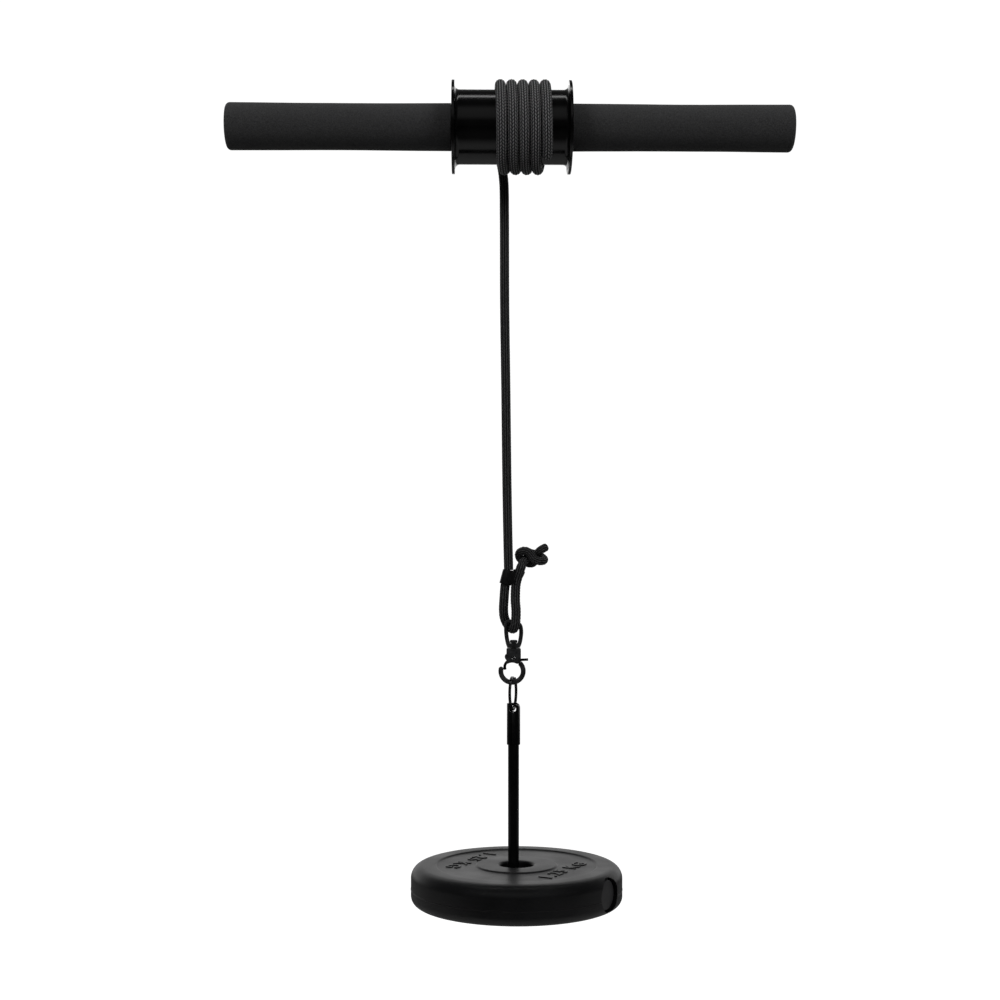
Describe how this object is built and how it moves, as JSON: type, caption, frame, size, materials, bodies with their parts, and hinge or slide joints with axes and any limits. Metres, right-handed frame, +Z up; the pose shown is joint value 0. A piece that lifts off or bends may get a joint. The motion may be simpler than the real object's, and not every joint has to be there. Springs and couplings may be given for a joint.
{
  "type": "wrist roller",
  "caption": "Foam-gripped roller bar with a rope drum, hanging rope with a swivel snap hook, loading pin and round weight plate.",
  "frame": {"origin": "on the roller's axis at the middle of the drum, between the two hands that hold the bar", "axes": "+X along the bar to the right grip, +Y to the back of the drum where the rope leaves it, +Z up the hanging rope"},
  "size_m": [0.418, 0.1607, 0.6178],
  "materials": {
    "bright_steel": "bright steel, lightly dulled",
    "foam": "matte closed-cell foam",
    "drum_gloss": "smooth gloss black",
    "rope": "braided rope with a slight sheen",
    "crimp_metal": "dark pressed metal",
    "hook_casting": "dark plated casting",
    "dark_steel": "satin black coated steel",
    "plate_plastic": "satin moulded plastic",
    "cement": "rough cement",
    "plug_plastic": "smooth moulded plastic"
  },
  "bodies": {
    "hanging_rope": {"rope_drop": "rope"},
    "roller": {"bar_tube": "bright_steel", "grip_left": "foam", "grip_right": "foam", "drum_barrel": "drum_gloss", "drum_flange_left": "drum_gloss", "drum_flange_right": "drum_gloss", "flange_pin_left": "bright_steel", "flange_pin_right": "bright_steel", "rope_winding": "rope", "rope_anchor_knot": "rope"},
    "rope_end": {"rope_crimp": "crimp_metal", "rope_loop": "rope", "rope_tail_knot": "rope"},
    "eye": {"swivel_eye": "hook_casting"},
    "hook": {"hook_body": "hook_casting", "gate_pin": "bright_steel", "gate_spring": "bright_steel"},
    "gate": {"gate_trigger": "hook_casting"},
    "ring": {"split_ring": "bright_steel"},
    "pin": {"pin_sleeve": "dark_steel", "loading_rod": "dark_steel", "base_disc": "dark_steel"},
    "plate": {"plate_shell": "plate_plastic", "plate_fill": "cement", "filler_plug": "plug_plastic"}
  },
  "joints": [
    {"name": "roller_turn", "type": "hinge", "parent": "hanging_rope", "child": "roller", "pos_m": [0, 0, 0], "axis": [1, 0, 0], "range_deg": [0, 520]},
    {"name": "rope_lift", "type": "slide", "parent": "hanging_rope", "child": "rope_end", "axis": [0, 0, 1], "range_m": [0, 0.2759], "deforming": ["rope_drop"]},
    {"name": "eye_swing", "type": "hinge", "parent": "rope_end", "child": "eye", "pos_m": [0.0024, 0.0304, -0.3668], "axis": [1, 0, 0], "range_deg": [-30, 8]},
    {"name": "hook_swivel", "type": "hinge", "parent": "eye", "child": "hook", "pos_m": [0.0024, 0.0304, -0.384], "axis": [0, 0, 1], "continuous": true},
    {"name": "gate_open", "type": "hinge", "parent": "hook", "child": "gate", "pos_m": [0.0024, 0.0304, -0.3939], "axis": [0, -1, 0], "range_deg": [0, 25], "stiffness_Nm_per_rad": 0.02, "springref_deg": -11.46, "deforming": ["gate_spring"]},
    {"name": "ring_swing", "type": "hinge", "parent": "hook", "child": "ring", "pos_m": [0.0018, 0.0304, -0.4123], "axis": [1, 0, 0], "range_deg": [-40, 40]},
    {"name": "pin_swing", "type": "hinge", "parent": "ring", "child": "pin", "pos_m": [0.0018, 0.0304, -0.43265], "axis": [0.2079, 0.9781, 0], "range_deg": [-40, 40]},
    {"name": "plate_slide", "type": "slide", "parent": "pin", "child": "plate", "axis": [0, 0, 1], "range_m": [0, 0.11]}
  ],
  "couplings": [
    {"joint": "rope_lift", "follows": "roller_turn", "m_per_rad": 0.0304}
  ]
}
